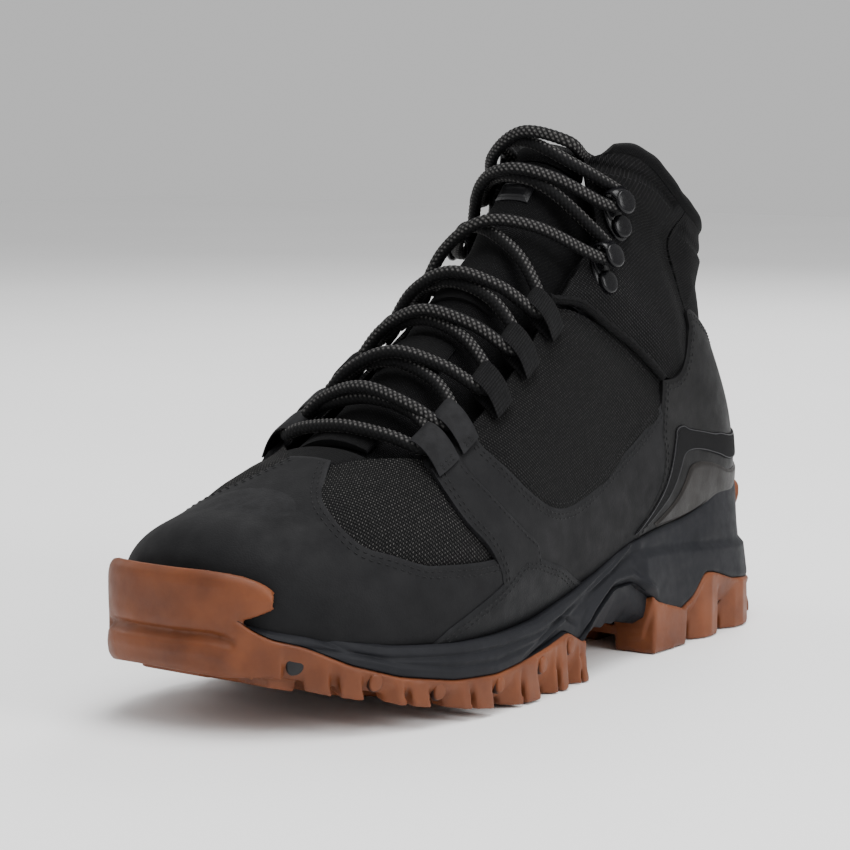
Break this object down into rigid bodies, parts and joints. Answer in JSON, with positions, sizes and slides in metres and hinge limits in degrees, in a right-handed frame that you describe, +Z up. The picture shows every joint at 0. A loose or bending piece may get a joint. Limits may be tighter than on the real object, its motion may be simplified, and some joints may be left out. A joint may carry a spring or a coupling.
{
  "type": "hiking boot",
  "caption": "Mid-cut laced hiking boot for the left foot, with leather and woven panels, padded collar and tongue, lace loops and hooks, foam midsole and lugged rubber sole.",
  "frame": {"origin": "centre of the boot's outline on the ground, under the waist of the sole", "axes": "+Z up, -Y to the toe, +X to the outer (lateral) side of the left boot"},
  "size_m": [0.1114, 0.2936, 0.1846],
  "materials": {
    "black_rubber": "matt black rubber",
    "footbed_fabric": "brushed knit",
    "gum_rubber": "satin gum rubber",
    "hardware": "black satin gloss",
    "inner_board": "pressed board",
    "inner_foam": "open foam",
    "lace_cord": "braided round lace with grey flecks",
    "lace_tip": "gloss",
    "lining_fabric": "fine knit",
    "midsole_foam": "matt moulded foam",
    "nubuck": "matt buffed leather",
    "overlay": "coated overlay, matt",
    "shank_plate": "moulded, satin",
    "smooth_leather": "satin coated leather",
    "tongue_fabric": "padded weave",
    "webbing": "ribbed webbing",
    "woven_fabric": "coarse weave"
  },
  "bodies": {
    "boot": {"outsole_forefoot": "gum_rubber", "outsole_heel": "gum_rubber", "toe_bumper": "gum_rubber", "heel_clip": "gum_rubber", "toe_studs": "black_rubber", "midsole": "midsole_foam", "shank": "shank_plate", "insole_board": "inner_board", "vamp": "nubuck", "toe_puff": "inner_board", "mesh_lateral": "woven_fabric", "mesh_medial": "woven_fabric", "strap_lateral": "nubuck", "strap_medial": "nubuck", "foxing_lateral": "nubuck", "foxing_medial": "nubuck", "wing_lateral": "overlay", "wing_medial": "overlay", "quarter_lateral": "woven_fabric", "quarter_medial": "woven_fabric", "counter": "nubuck", "heel_stiffener": "inner_board", "heel_trim": "webbing", "heel_patch": "smooth_leather", "collar_lateral": "woven_fabric", "collar_medial": "woven_fabric", "collar_back": "woven_fabric", "ankle_foam": "inner_foam", "collar_rim": "lining_fabric", "piping_lateral": "webbing", "piping_medial": "webbing", "vamp_lining": "lining_fabric", "quarter_lining": "lining_fabric", "throat_band": "webbing", "tongue": "tongue_fabric", "tongue_patch": "smooth_leather", "keeper_low": "webbing", "keeper_mid": "webbing", "keeper_high": "webbing", "leather_loops_lateral": "nubuck", "leather_loops_medial": "nubuck", "web_loops_lateral": "webbing", "web_loops_medial": "webbing", "hook_bases": "hardware", "hooks_lateral": "hardware", "hooks_medial": "hardware", "hook_rivets": "hardware", "lace": "lace_cord", "aglets": "lace_tip"},
    "footbed": {"footbed_foam": "inner_foam", "footbed_cover": "footbed_fabric"},
    "tongue_top": {"tongue_top": "tongue_fabric"}
  },
  "joints": [
    {"name": "footbed_lift", "type": "hinge", "parent": "boot", "child": "footbed", "pos_m": [0, -0.137, 0.037], "axis": [1, 0, 0], "range_deg": [0, 8]},
    {"name": "tongue_top_fold", "type": "hinge", "parent": "boot", "child": "tongue_top", "pos_m": [0, 0.0445, 0.1665], "axis": [-1, 0, 0], "range_deg": [0, 25]}
  ]
}
